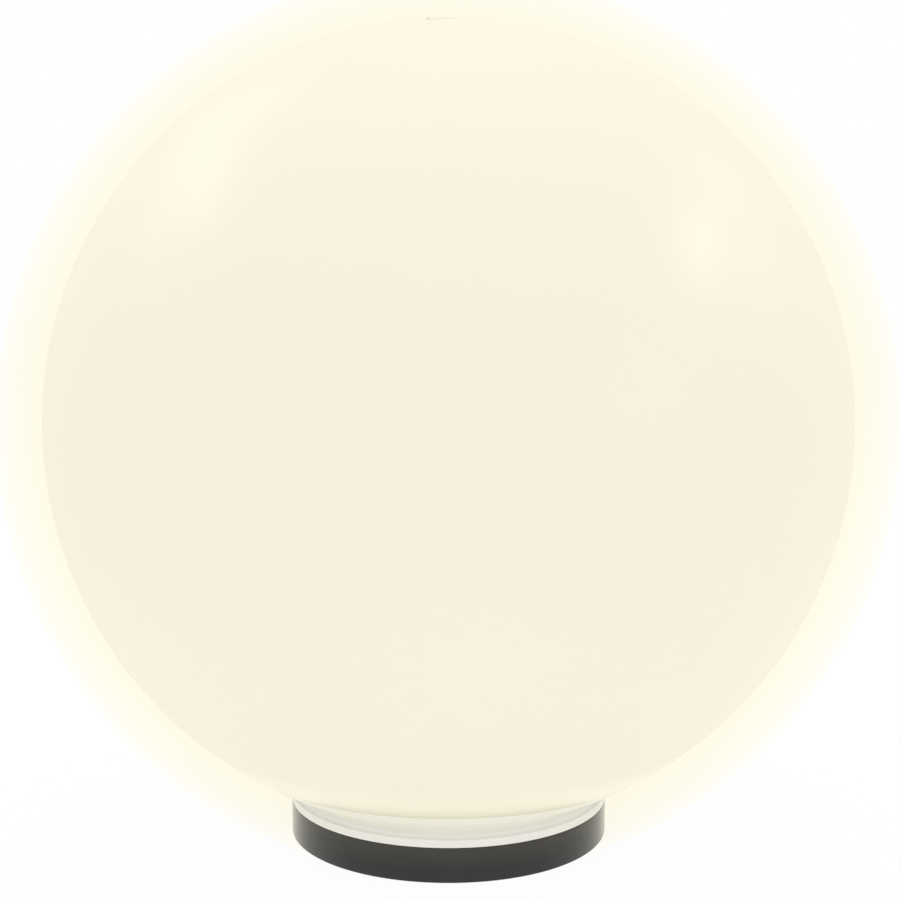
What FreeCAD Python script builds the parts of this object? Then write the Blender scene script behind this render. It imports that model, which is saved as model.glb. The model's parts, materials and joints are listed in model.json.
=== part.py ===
"""Garden globe light: a lit opal sphere with a white neck and collar on a black base ring.

A white cup is bonded into the globe's mouth and a collar into the cup. The collar twists off
the base ring on helical lugs. A floor plate closes the ring from below. On the floor a steel
strap carries an E27 lampholder with an LED bulb.
Millimetres, +Z up. The origin is the centre of the base's underside and +Y is the back.
"""
import FreeCAD, Part
import math
import os

from FreeCAD import Vector

# Black base: a moulded ring, with a floor plate under the ledge inside it
BASE_R = 80.9
BASE_H = 17.6
BASE_WALL = 3.0
BASE_EDGE = 0.7
BASE_FLOOR = 2.5
FLOOR_FIT = 0.1
LEDGE_W = 1.2
LEDGE_T = 1.6
RIB_T = 2.0
RIB_DROP = 0.5
RIB_COUNT = 6
RIB_START_R = 34.0

# Cable channel under the floor and its grommet
CHANNEL_W = 9.0
CHANNEL_H = 7.5
CHANNEL_WALL = 2.0
INLET_Y = 45.0
INLET_CHAMBER_R = 9.5
INLET_HOLE_R = 6.0
GROMMET_BORE_R = 3.4
GROMMET_LIP_R = 8.5
GROMMET_LIP_T = 2.0

# Screw holes that fix the base to a wall, a post or a plinth
FIX_COUNT = 3
FIX_PCD = 110.0
FIX_HOLE_R = 2.75
FIX_BOSS_R = 7.0
FIX_BOSS_H = 3.0
FIX_START_DEG = 30.0

# White cup's neck, and the collar under it
NECK_INSET = 2.9
NECK_H = 4.6
NECK_FILLET = 3.0
FLANGE_T = 3.8
FLANGE_EDGE = 0.5
SKIRT_GAP = 3.9
SKIRT_WALL = 2.2
SKIRT_DEPTH = 7.2
RIM_H = 3.0

# Opal globe and its bonded joint with the cup
GLOBE_R = 200.0
GLOBE_WALL = 2.5
JOINT_R = 106.4
JOINT_GAP = 0.1
JOINT_CHAMFER = 0.8
SPIGOT_LAP = 7.0
SPIGOT_T = 2.2
GLUE_GAP = 0.15

# Flat seal under the flange
SEAL_T = 1.5
SEAL_INSET = 1.3
SEAL_CLEARANCE = 0.3

# Twist lock: helical lugs on the skirt under helical ramps in the base
LOCK_COUNT = 3
LOCK_PITCH = 18.0
LOCK_START_DEG = 40.0
LUG_SPAN_DEG = 24.0
LUG_T = 2.4
LUG_LIFT = 0.2
RAMP_SPAN_DEG = 40.0
RAMP_TOP_GAP = 0.8
RAMP_STOP_DEG = 3.0
LOCK_CLEARANCE = 0.4
LOCK_FACE_GAP = 0.3

# Strap that carries the lampholder
STRAP_W = 22.0
STRAP_T = 1.5
STRAP_H = 46.0
STRAP_LEG_X = 34.0
STRAP_FOOT_X = 52.0
STRAP_BEND_R = 3.0
STRAP_LEAD_HOLE_R = 8.6
STRAP_SCREW_X = 44.0
STRAP_BOSS_R = 6.5
STRAP_BOSS_H = 3.0

# Screws: shank radius, head radius and head height
FLOOR_SCREW = (1.75, 3.4, 2.2)
FLOOR_SCREW_GRIP = 3.6
HOLDER_SCREW = (1.6, 3.0, 2.0)
HOLDER_SCREW_GRIP = 5.0
WIRE_SCREW = (1.5, 1.8, 0.8)
HOLE_CLEARANCE = 0.3

# E27 lampholder
HOLDER_FOOT_R = 22.0
HOLDER_FOOT_H = 7.0
HOLDER_R = 19.5
HOLDER_H = 43.0
HOLDER_SCREW_X = 18.0
CHAMBER_R = 14.5
CHAMBER_H = 8.0
WEB_T = 5.0
SHELL_BORE_R = 13.5
SHELL_T = 0.5
SHELL_H = 27.0
SHELL_LEDGE_R = 10.5
SHELL_CLEARANCE = 0.1
TONGUE_W = 7.0
TONGUE_T = 0.5
TONGUE_RISE = 2.5
TAIL_R = 1.3
TERMINAL_SIZE = (9.0, 6.0, 7.0)
TERMINAL_X = 8.0
TERMINAL_Y = -3.5

# Terminal block on the floor and the two leads up to the lampholder
BLOCK_SIZE = (24.0, 18.0, 13.0)
BLOCK_Y = 2.0
INSERT_SIZE = (5.0, 14.0, 6.0)
INSERT_BASE = 3.0
INSERT_CLEARANCE = 0.1
WIRE_SCREW_PITCH = 8.0
LEAD_X = 5.5
LEAD_R = 1.1
LEAD_RUN = 14.0
LEAD_REACH = 22.0
LEAD_SAG = 5.0
LEAD_TURN = 12.0

# Cord clamp: a bar on two posts over a saddle
CLAMP_Y = 28.0
CLAMP_POST_X = 11.0
CLAMP_POST_R = 4.0
CLAMP_POST_H = 7.0
CLAMP_W = 8.0
CLAMP_T = 5.0
CLAMP_GROOVE_R = 3.3

# LED bulb, measured up from its centre contact; the dome and the rim hang from its top
BULB_H = 108.0
CAP_R = 13.2
CAP_WALL = 0.4
CAP_BASE = 5.6
CAP_TOP = 28.0
CAP_MOUTH_R = 9.8
CAP_FIT = 0.1
CONTACT_R = 4.6
CONTACT_H = 1.6
BULB_SHELL_WALL = 1.4
BULB_RIM_R = 29.5
BULB_RIM_H = 6.0
BULB_RIM_WALL = 2.7
DOME_R = 30.0
DOME_H = 41.0
DOME_WALL = 1.2
BOARD_T = 1.6
BOARD_DROP = 4.5
CHIP_SIZE = (3.2, 3.2, 0.8)
CHIP_RING_R = 17.0
CHIP_COUNT = 12
DRIVER_BASE = 17.0
DRIVER_GAP = 6.0
CAPACITOR = (3.5, 3.9, 3.0, 12.0)
TRANSFORMER = (8.0, 9.0, 10.0)
TRANSFORMER_BASE = 20.0

# Heights and radii that follow from the sizes above
NECK_R = BASE_R - NECK_INSET
SKIRT_R = BASE_R - BASE_WALL - SKIRT_GAP
FLANGE_BASE_Z = BASE_H
FLANGE_TOP_Z = FLANGE_BASE_Z + FLANGE_T
GLOBE_Z = FLANGE_TOP_Z + NECK_H + math.sqrt(GLOBE_R ** 2 - NECK_R ** 2)
BASE_BORE_R = BASE_R - BASE_WALL
FLOOR_R = BASE_BORE_R - FLOOR_FIT
LEDGE_R = BASE_BORE_R - LEDGE_W
SKIRT_BORE_R = SKIRT_R - SKIRT_WALL
SKIRT_BASE_Z = FLANGE_BASE_Z - SKIRT_DEPTH
LUG_BASE_Z = SKIRT_BASE_Z + LUG_LIFT
RAMP_TOP_Z = BASE_H - RAMP_TOP_GAP
BOSS_TOP_Z = BASE_FLOOR + STRAP_BOSS_H
HOLDER_Z = BOSS_TOP_Z + STRAP_H
WEB_Z = HOLDER_Z + CHAMBER_H
SEAT_Z = WEB_Z + WEB_T
BULB_Z = SEAT_Z + TONGUE_T + TONGUE_RISE
RIDGE_W = CHANNEL_W + 2 * CHANNEL_WALL
RIDGE_TOP_Z = CHANNEL_H + CHANNEL_WALL
INSERT_Z = BASE_FLOOR + INSERT_BASE + INSERT_SIZE[2] / 2
BULB_RIM_TOP = BULB_H - DOME_H
BULB_RIM_BASE = BULB_RIM_TOP - BULB_RIM_H
DRIVER_TOP = BULB_RIM_BASE - DRIVER_GAP


def point(r, z):
    """A point of a turned profile, at radius r and height z."""
    return Vector(r, 0, z)


def line(a, b):
    """A straight edge."""
    return Part.LineSegment(a, b).toShape()


def arc(a, b, c):
    """A circular edge from a through b to c."""
    return Part.Arc(a, b, c).toShape()


def turned(edges):
    """A full turn about the vertical axis of the closed profile that the edges make."""
    face = Part.Face(Part.Wire(edges))
    return face.revolve(Vector(), Vector(0, 0, 1), 360)


def turned_outline(outline):
    """A full turn of a profile of straight lines through (r, z) pairs."""
    corners = [point(r, z) for r, z in outline]
    pairs = zip(corners, corners[1:] + corners[:1])
    return turned([line(a, b) for a, b in pairs])


def cylinder(r, low, high, x=0.0, y=0.0):
    """An upright cylinder between two heights."""
    return Part.makeCylinder(r, high - low, Vector(x, y, low))


def block(size, centre, low):
    """An upright box of a given size, centred on (x, y) and standing at a height."""
    corner = Vector(centre[0] - size[0] / 2, centre[1] - size[1] / 2, low)
    return Part.makeBox(size[0], size[1], size[2], corner)


def joined(first, *others):
    """One solid from pieces that run into each other."""
    return first.fuse(list(others)).removeSplitter()


def around(shape, count, start=0.0):
    """Equally spaced copies of a shape about the vertical axis."""
    copies = []
    for index in range(count):
        copy = shape.copy()
        copy.rotate(Vector(), Vector(0, 0, 1), start + index * 360 / count)
        copies.append(copy)
    return copies


def skin_point(radius, angle):
    """A point at a radius about the globe's centre, at an angle up from its lowest point."""
    return point(radius * math.sin(angle), GLOBE_Z - radius * math.cos(angle))


def helical_bar(r_in, r_out, low, high, start, span):
    """A bar between two radii and two heights that climbs along the lock's helix."""
    corners = [(r_in, low), (r_out, low), (r_out, high), (r_in, high)]
    section = Part.makePolygon([point(r, z) for r, z in corners + corners[:1]])
    path = Part.makeHelix(LOCK_PITCH, LOCK_PITCH * span / 360, r_out)
    sweep = Part.BRepOffsetAPI.MakePipeShell(path)
    sweep.setBiNormalMode(Vector(0, 0, 1))
    sweep.add(section)
    sweep.build()
    sweep.makeSolid()
    bar = sweep.shape()
    bar.rotate(Vector(), Vector(0, 0, 1), start)
    return bar


def bent_path(points, radii):
    """A wire of straight runs joined by tangent arcs, one radius for each inner point."""
    edges = []
    start = points[0]
    for before, corner, after, radius in zip(points, points[1:], points[2:], radii):
        inward = (before - corner).normalize()
        outward = (after - corner).normalize()
        half_turn = (math.pi - inward.getAngle(outward)) / 2
        trim = radius * math.tan(half_turn)
        bisector = (inward + outward).normalize()
        middle = corner + bisector * (radius / math.cos(half_turn) - radius)
        edges.append(line(start, corner + inward * trim))
        edges.append(arc(corner + inward * trim, middle, corner + outward * trim))
        start = corner + outward * trim
    edges.append(line(start, points[-1]))
    return Part.Wire(edges)


def bent_strip(points, radius, width, thickness):
    """Sheet metal bent along a path in the XZ plane; the path is its lower face."""
    path = bent_path(points, [radius] * (len(points) - 2))
    run = (points[1] - points[0]).normalize()
    up = Vector(-run.z, 0, run.x) * thickness
    half = Vector(0, width / 2, 0)
    first = points[0]
    corners = [first - half, first + half, first + half + up, first - half + up]
    section = Part.makePolygon(corners + corners[:1])
    sweep = Part.BRepOffsetAPI.MakePipeShell(path)
    sweep.setBiNormalMode(Vector(0, 1, 0))
    sweep.add(section)
    sweep.build()
    sweep.makeSolid()
    return sweep.shape()


def screw(size, grip, x, y, seat):
    """A screw with a bevelled head that hangs down from its seat."""
    shank_r, head_r, head_h = size
    bevel = head_h * 0.4
    fixing = turned_outline([
        (0, -grip), (shank_r, -grip), (shank_r, 0), (head_r, 0),
        (head_r, head_h - bevel), (head_r - bevel, head_h), (0, head_h),
    ])
    fixing.translate(Vector(x, y, seat))
    return fixing


def globe():
    """Blown opal sphere whose mouth ends square to the skin at the joint line."""
    joint = math.asin(JOINT_R / GLOBE_R)
    edge = JOINT_CHAMFER / GLOBE_R
    inner = GLOBE_R - GLOBE_WALL
    lip_out = skin_point(GLOBE_R, joint + edge)
    lip_in = skin_point(GLOBE_R - JOINT_CHAMFER, joint)
    mouth = skin_point(inner, joint)
    top_out = point(0, GLOBE_Z + GLOBE_R)
    top_in = point(0, GLOBE_Z + inner)
    outer_skin = arc(lip_out, skin_point(GLOBE_R, math.pi / 2), top_out)
    inner_skin = arc(top_in, skin_point(inner, math.pi / 2), mouth)
    crown = line(top_out, top_in)
    return turned([outer_skin, crown, inner_skin, line(mouth, lip_in), line(lip_in, lip_out)])


def neck_fillet():
    """The arc that blends the cup's round skin into its upright neck."""
    centre_r = NECK_R + NECK_FILLET
    reach = GLOBE_R + NECK_FILLET
    drop = math.sqrt(reach ** 2 - centre_r ** 2)
    centre = point(centre_r, GLOBE_Z - drop)
    skin_angle = math.asin(centre_r / reach)
    upper = skin_point(GLOBE_R, skin_angle)
    lower = point(NECK_R, centre.z)
    bisector = ((upper - centre) + (lower - centre)).normalize()
    return arc(upper, centre + bisector * NECK_FILLET, lower), skin_angle


def globe_cup():
    """White cup bonded into the globe: a spigot, a skin that carries on the sphere, and the neck."""
    shoulder = math.asin(JOINT_R / GLOBE_R) - JOINT_GAP / GLOBE_R
    lip_angle = shoulder - JOINT_CHAMFER / GLOBE_R
    lap = shoulder + SPIGOT_LAP / GLOBE_R
    spigot_r = GLOBE_R - GLOBE_WALL - GLUE_GAP
    inner = spigot_r - SPIGOT_T
    bore_r = SKIRT_R + GLUE_GAP
    bore = math.asin(bore_r / inner)
    fillet, skin_angle = neck_fillet()
    fillet_end = fillet.valueAt(fillet.LastParameter)
    ledge = skin_point(GLOBE_R - JOINT_CHAMFER, shoulder)
    lip = skin_point(GLOBE_R, lip_angle)
    neck_foot = point(NECK_R, FLANGE_TOP_Z)
    bore_foot = point(bore_r, FLANGE_TOP_Z)
    cup_low = skin_point(inner, bore)
    cup_high = skin_point(inner, lap)
    spigot_top = skin_point(spigot_r, lap)
    spigot_foot = skin_point(spigot_r, shoulder)
    return turned([
        line(ledge, lip),
        arc(lip, skin_point(GLOBE_R, (lip_angle + skin_angle) / 2), fillet.valueAt(0)),
        fillet,
        line(fillet_end, neck_foot),
        line(neck_foot, bore_foot),
        line(bore_foot, cup_low),
        arc(cup_low, skin_point(inner, (bore + lap) / 2), cup_high),
        line(cup_high, spigot_top),
        arc(spigot_top, skin_point(spigot_r, (shoulder + lap) / 2), spigot_foot),
        line(spigot_foot, ledge),
    ])


def neck_collar():
    """White collar: a flange over the seal, a rim up inside the cup, and a skirt with lugs."""
    corner = point(BASE_R, FLANGE_TOP_Z)
    down = Vector(0, 0, -FLANGE_EDGE)
    back = Vector(-FLANGE_EDGE, 0, 0)
    round_mid = corner + (down + back) * (1 - math.sqrt(0.5))
    outline = [
        (BASE_R, FLANGE_BASE_Z), (BASE_R - SEAL_INSET, FLANGE_BASE_Z),
        (BASE_R - SEAL_INSET, FLANGE_BASE_Z + SEAL_T), (SKIRT_R, FLANGE_BASE_Z + SEAL_T),
        (SKIRT_R, SKIRT_BASE_Z), (SKIRT_BORE_R, SKIRT_BASE_Z),
        (SKIRT_BORE_R, FLANGE_TOP_Z + RIM_H), (SKIRT_R, FLANGE_TOP_Z + RIM_H),
        (SKIRT_R, FLANGE_TOP_Z),
    ]
    stops = [corner + down] + [point(r, z) for r, z in outline] + [corner + back]
    edges = [line(a, b) for a, b in zip(stops, stops[1:])]
    edges.append(arc(corner + back, round_mid, corner + down))
    lug_r = BASE_BORE_R - LOCK_CLEARANCE
    root_r = SKIRT_R - SKIRT_WALL / 2
    lug = helical_bar(root_r, lug_r, LUG_BASE_Z, LUG_BASE_Z + LUG_T, LOCK_START_DEG, LUG_SPAN_DEG)
    return joined(turned(edges), *around(lug, LOCK_COUNT))


def neck_seal():
    """Flat EPDM ring round the skirt, between the flange and the base's rim."""
    outer = BASE_R - SEAL_INSET - SEAL_CLEARANCE
    inner = SKIRT_R + SEAL_CLEARANCE
    ring = cylinder(outer, FLANGE_BASE_Z, FLANGE_BASE_Z + SEAL_T)
    return ring.cut(cylinder(inner, FLANGE_BASE_Z - 1, FLANGE_BASE_Z + SEAL_T + 1))


def base_wall():
    """The base's wall, softened at its outer edges, with a ledge inside for the floor plate."""
    low = point(BASE_R, 0)
    top = point(BASE_R, BASE_H)
    back = Vector(-BASE_EDGE, 0, 0)
    rise = Vector(0, 0, BASE_EDGE)
    soft = 1 - math.sqrt(0.5)
    inside = [
        (BASE_BORE_R, BASE_H), (BASE_BORE_R, BASE_FLOOR + LEDGE_T),
        (LEDGE_R, BASE_FLOOR + LEDGE_T), (LEDGE_R, BASE_FLOOR), (BASE_BORE_R, BASE_FLOOR),
        (BASE_BORE_R, 0),
    ]
    stops = [top + back] + [point(r, z) for r, z in inside] + [low + back]
    return turned([line(a, b) for a, b in zip(stops, stops[1:])] + [
        arc(low + back, low + (back + rise) * soft, low + rise),
        line(low + rise, top - rise),
        arc(top - rise, top + (back - rise) * soft, top + back),
    ])


def lock_ramp():
    """One ramp on the wall: its underside follows the helix and a post stops its low end."""
    inner = SKIRT_R + LOCK_CLEARANCE
    outer = BASE_BORE_R + BASE_WALL / 2
    span = RAMP_STOP_DEG + RAMP_SPAN_DEG
    corners = [(inner, BASE_FLOOR), (outer, BASE_FLOOR), (outer, RAMP_TOP_Z), (inner, RAMP_TOP_Z)]
    face = Part.makePolygon([point(r, z) for r, z in corners + corners[:1]])
    ramp = Part.Face(face).revolve(Vector(), Vector(0, 0, 1), span)
    gap_deg = math.degrees(LOCK_FACE_GAP / inner)
    roof = LUG_BASE_Z + LUG_T + LOCK_FACE_GAP - LOCK_PITCH * gap_deg / 360
    run = helical_bar(inner - 1, outer + 1, roof - BASE_H, roof, RAMP_STOP_DEG, RAMP_SPAN_DEG + 2)
    ramp = ramp.cut(run)
    ramp.rotate(Vector(), Vector(0, 0, 1), LOCK_START_DEG - gap_deg - RAMP_STOP_DEG)
    return ramp


def base_housing():
    """Black ring that the light stands on, with the lock's ramps and a notch for the cord."""
    housing = base_wall().fuse(around(lock_ramp(), LOCK_COUNT))
    notch_depth = BASE_R + 5 - INLET_Y
    notch = block((CHANNEL_W, notch_depth, CHANNEL_H + 5), (0, INLET_Y + notch_depth / 2), -5)
    ridge_room = block((RIDGE_W + 2 * FLOOR_FIT, BASE_R, RIDGE_TOP_Z), (0, BASE_R / 2), 0)
    ridge_room = ridge_room.common(cylinder(BASE_BORE_R, 0, BASE_H))
    return housing.cut([notch, ridge_room]).removeSplitter()


def floor_furniture():
    """What stands on the floor: ribs, screw bosses, the channel's ridge and the clamp's posts."""
    height = STRAP_BOSS_H - RIB_DROP
    length = LEDGE_R - FLOOR_FIT - RIB_START_R
    rib = Part.makeBox(length, RIB_T, height + 1, Vector(RIB_START_R, -RIB_T / 2, BASE_FLOOR - 1))
    fix_boss = cylinder(FIX_BOSS_R, 1, BASE_FLOOR + FIX_BOSS_H, FIX_PCD / 2)
    ridge_size = (RIDGE_W, BASE_R - INLET_Y, RIDGE_TOP_Z)
    ridge = block(ridge_size, (0, INLET_Y + ridge_size[1] / 2), 0)
    saddle_size = (2 * CLAMP_POST_X, CLAMP_W, CLAMP_POST_H - CLAMP_GROOVE_R + 1)
    pieces = around(rib, RIB_COUNT)
    pieces += around(fix_boss, FIX_COUNT, FIX_START_DEG)
    pieces.append(ridge.common(cylinder(FLOOR_R, 0, BASE_H)))
    pieces.append(cylinder(INLET_CHAMBER_R + CHANNEL_WALL, 0, RIDGE_TOP_Z, 0, INLET_Y))
    pieces.append(block(saddle_size, (0, CLAMP_Y), BASE_FLOOR - 1))
    for side in (-1, 1):
        post_top = BASE_FLOOR + CLAMP_POST_H
        pieces.append(cylinder(STRAP_BOSS_R, 1, BOSS_TOP_Z, side * STRAP_SCREW_X))
        pieces.append(cylinder(CLAMP_POST_R, 1, post_top, side * CLAMP_POST_X, CLAMP_Y))
    return pieces


def floor_holes():
    """The cable channel, the inlet, the fixing holes and the blind holes for screws."""
    pilot = FLOOR_SCREW[0] + HOLE_CLEARANCE / 3
    depth = FLOOR_SCREW_GRIP + HOLE_CLEARANCE
    run = (CHANNEL_W, BASE_R + 5 - INLET_Y, CHANNEL_H + 5)
    holes = [block(run, (0, INLET_Y + run[1] / 2), -5)]
    holes.append(cylinder(INLET_CHAMBER_R, -5, CHANNEL_H, 0, INLET_Y))
    holes.append(cylinder(INLET_HOLE_R, 0, RIDGE_TOP_Z + 5, 0, INLET_Y))
    fix = cylinder(FIX_HOLE_R, -5, BASE_H, FIX_PCD / 2)
    holes += around(fix, FIX_COUNT, FIX_START_DEG)
    for side in (-1, 1):
        x = side * STRAP_SCREW_X
        post_top = BASE_FLOOR + CLAMP_POST_H
        holes.append(cylinder(pilot, BOSS_TOP_Z - depth, BOSS_TOP_Z + 1, x))
        holes.append(cylinder(pilot, post_top - depth, post_top + 1, side * CLAMP_POST_X, CLAMP_Y))
    return holes


def base_floor():
    """Floor plate under the ring's ledge, with what the lamp and the cord are fixed to."""
    plate = cylinder(FLOOR_R, 0, BASE_FLOOR).fuse(floor_furniture())
    return plate.cut(floor_holes()).removeSplitter()


def cable_grommet():
    """Rubber grommet that grips the rim of the inlet between two lips."""
    neck_r = INLET_HOLE_R - INSERT_CLEARANCE
    low = CHANNEL_H - GROMMET_LIP_T
    high = RIDGE_TOP_Z + GROMMET_LIP_T
    outline = [
        (GROMMET_BORE_R, low), (neck_r, low), (GROMMET_LIP_R, CHANNEL_H - 0.8),
        (GROMMET_LIP_R, CHANNEL_H), (neck_r, CHANNEL_H), (neck_r, RIDGE_TOP_Z),
        (GROMMET_LIP_R, RIDGE_TOP_Z), (GROMMET_LIP_R, RIDGE_TOP_Z + 0.8),
        (neck_r, high), (GROMMET_BORE_R, high),
    ]
    grommet = turned_outline(outline)
    grommet.translate(Vector(0, INLET_Y, 0))
    return grommet


def cord_clamp():
    """Bar across two posts with a half-round groove for the cord and rounded ends."""
    low = BASE_FLOOR + CLAMP_POST_H
    bar = block((2 * CLAMP_POST_X, CLAMP_W, CLAMP_T), (0, CLAMP_Y), low)
    ends = [cylinder(CLAMP_W / 2, low, low + CLAMP_T, s * CLAMP_POST_X, CLAMP_Y) for s in (-1, 1)]
    bar = joined(bar, *ends)
    hole_r = FLOOR_SCREW[0] + HOLE_CLEARANCE
    for side in (-1, 1):
        x = side * CLAMP_POST_X
        bar = bar.cut(cylinder(hole_r, low - 1, low + CLAMP_T + 1, x, CLAMP_Y))
    start = Vector(0, CLAMP_Y - CLAMP_W, low)
    return bar.cut(Part.makeCylinder(CLAMP_GROOVE_R, 2 * CLAMP_W, start, Vector(0, 1, 0)))


def clamp_screws():
    """The two screws of the cord clamp."""
    seat = BASE_FLOOR + CLAMP_POST_H + CLAMP_T
    grip = CLAMP_T + FLOOR_SCREW_GRIP
    pair = [screw(FLOOR_SCREW, grip, s * CLAMP_POST_X, CLAMP_Y, seat) for s in (-1, 1)]
    return Part.makeCompound(pair)


def lamp_bracket():
    """Steel strap bent into a bridge, with two feet, two legs and a plate for the lampholder."""
    high = HOLDER_Z - STRAP_T
    xs = (-STRAP_FOOT_X, -STRAP_LEG_X, -STRAP_LEG_X, STRAP_LEG_X, STRAP_LEG_X, STRAP_FOOT_X)
    zs = (BOSS_TOP_Z, BOSS_TOP_Z, high, high, BOSS_TOP_Z, BOSS_TOP_Z)
    strap = bent_strip([Vector(x, 0, z) for x, z in zip(xs, zs)], STRAP_BEND_R, STRAP_W, STRAP_T)
    foot_hole_r = FLOOR_SCREW[0] + HOLE_CLEARANCE
    plate_hole_r = HOLDER_SCREW[0] + HOLE_CLEARANCE
    strap = strap.cut(cylinder(STRAP_LEAD_HOLE_R, high - 5, HOLDER_Z + 5))
    for side in (-1, 1):
        x = side * STRAP_SCREW_X
        strap = strap.cut(cylinder(foot_hole_r, 0, BOSS_TOP_Z + 5, x))
        x = side * HOLDER_SCREW_X
        strap = strap.cut(cylinder(plate_hole_r, high - 5, HOLDER_Z + 5, x))
    return strap


def bracket_screws():
    """The two screws through the strap's feet."""
    seat = BOSS_TOP_Z + STRAP_T
    grip = STRAP_T + FLOOR_SCREW_GRIP
    pair = [screw(FLOOR_SCREW, grip, s * STRAP_SCREW_X, 0, seat) for s in (-1, 1)]
    return Part.makeCompound(pair)


def lampholder_body():
    """Porcelain lampholder: a foot, a barrel with the shell's bore and a wiring chamber."""
    foot = cylinder(HOLDER_FOOT_R, HOLDER_Z, HOLDER_Z + HOLDER_FOOT_H)
    barrel = cylinder(HOLDER_R, HOLDER_Z, HOLDER_Z + HOLDER_H)
    barrel = barrel.makeFillet(1.5, [barrel.Edges[0]])
    body = joined(foot, barrel)
    bore_r = SHELL_BORE_R + SHELL_T + SHELL_CLEARANCE
    body = body.cut(cylinder(bore_r, SEAT_Z, HOLDER_Z + HOLDER_H + 1))
    body = body.cut(cylinder(CHAMBER_R, HOLDER_Z - 1, WEB_Z))
    for x, y in tail_positions():
        body = body.cut(cylinder(TAIL_R + SHELL_CLEARANCE, WEB_Z - 1, SEAT_Z + 1, x, y))
    pilot = HOLDER_SCREW[0] + HOLE_CLEARANCE / 3
    depth = HOLDER_SCREW_GRIP + HOLE_CLEARANCE
    for side in (-1, 1):
        x = side * HOLDER_SCREW_X
        body = body.cut(cylinder(pilot, HOLDER_Z - 1, HOLDER_Z + depth, x))
    return body


def tail_positions():
    """Where the tails of the centre contact and of the shell pass down through the web."""
    shell_x = (SHELL_LEDGE_R + SHELL_BORE_R + SHELL_T) / 2
    return (-TERMINAL_X + 2, -2.0), (shell_x, -2.0)


def tail(position):
    """A round tail from the lampholder's seat down to the terminal under it."""
    x, y = position
    return cylinder(TAIL_R, HOLDER_Z + terminal_top(), SEAT_Z + TONGUE_T / 2, x, y)


def terminal_top():
    """Height of the terminals' top faces above the lampholder's foot."""
    return CHAMBER_H - SHELL_CLEARANCE


def lampholder_shell():
    """Screw shell: a tube with a ledge at its foot and a tail to the neutral terminal."""
    outer = SHELL_BORE_R + SHELL_T
    tube = turned_outline([
        (SHELL_LEDGE_R, SEAT_Z), (outer, SEAT_Z), (outer, SEAT_Z + SHELL_H),
        (SHELL_BORE_R, SEAT_Z + SHELL_H), (SHELL_BORE_R, SEAT_Z + SHELL_T),
        (SHELL_LEDGE_R, SEAT_Z + SHELL_T),
    ])
    return joined(tube, tail(tail_positions()[1]))


def centre_contact():
    """Sprung tongue: a foot with a tail, a rise and a pad under the bulb's contact."""
    low = SEAT_Z
    high = SEAT_Z + TONGUE_RISE
    xs = (-9.0, -4.0, -1.5, CONTACT_R)
    zs = (low, low, high, high)
    tongue = bent_strip([Vector(x, 0, z) for x, z in zip(xs, zs)], 1.0, TONGUE_W, TONGUE_T)
    return joined(tongue, tail(tail_positions()[0]))


def holder_terminals():
    """Two brass blocks in the lampholder's chamber that the leads run up to."""
    low = HOLDER_Z + terminal_top() - TERMINAL_SIZE[2]
    pair = [block(TERMINAL_SIZE, (s * TERMINAL_X, TERMINAL_Y), low) for s in (-1, 1)]
    return Part.makeCompound(pair)


def lampholder_screws():
    """Two screws up through the strap's plate into the lampholder's foot."""
    seat = HOLDER_Z - STRAP_T
    grip = STRAP_T + HOLDER_SCREW_GRIP
    pair = []
    for side in (-1, 1):
        fixing = screw(HOLDER_SCREW, grip, side * HOLDER_SCREW_X, 0, seat)
        middle = Vector(side * HOLDER_SCREW_X, 0, seat)
        fixing.rotate(middle, Vector(0, 1, 0), 180)
        pair.append(fixing)
    return Part.makeCompound(pair)


def wire_screw_places():
    """Centres of the four wire screws, two over each insert."""
    step = WIRE_SCREW_PITCH / 2
    return [(x, BLOCK_Y + y) for x in (-LEAD_X, LEAD_X) for y in (-step, step)]


def terminal_block():
    """Two-way terminal block with a channel for each insert and wells for its screws."""
    body = block(BLOCK_SIZE, (0, BLOCK_Y), BASE_FLOOR)
    body = body.makeFillet(1.2, [e for e in body.Edges if abs(e.tangentAt(0).z) > 0.9])
    gap = 2 * INSERT_CLEARANCE
    channel = (INSERT_SIZE[0] + gap, BLOCK_SIZE[1] + 2, INSERT_SIZE[2] + INSERT_CLEARANCE)
    for side in (-1, 1):
        body = body.cut(block(channel, (side * LEAD_X, BLOCK_Y), BASE_FLOOR + INSERT_BASE))
    top = BASE_FLOOR + BLOCK_SIZE[2] + 1
    for x, y in wire_screw_places():
        body = body.cut(cylinder(WIRE_SCREW[1] + HOLE_CLEARANCE, INSERT_Z, top, x, y))
    return body.cut(cylinder(HOLDER_SCREW[0] + HOLE_CLEARANCE, 0, top, 0, BLOCK_Y))


def terminal_inserts():
    """Two brass inserts, each bored along Y for the wires and drilled for its screws."""
    pair = []
    for side in (-1, 1):
        x = side * LEAD_X
        insert = block(INSERT_SIZE, (x, BLOCK_Y), BASE_FLOOR + INSERT_BASE)
        start = Vector(x, BLOCK_Y - INSERT_SIZE[1], INSERT_Z)
        reach = Part.makeCylinder(LEAD_R * 0.9, 2 * INSERT_SIZE[1], start, Vector(0, 1, 0))
        insert = insert.cut(reach)
        pair.append(insert)
    return Part.makeCompound(pair)


def terminal_screws():
    """Four wire screws that stand on the inserts."""
    seat = BASE_FLOOR + INSERT_BASE + INSERT_SIZE[2]
    top = BASE_FLOOR + BLOCK_SIZE[2] - WIRE_SCREW[2]
    group = []
    for x, y in wire_screw_places():
        shank = cylinder(WIRE_SCREW[0], seat, top, x, y)
        group.append(joined(shank, cylinder(WIRE_SCREW[1], top - WIRE_SCREW[2], top, x, y)))
    return Part.makeCompound(group)


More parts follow.
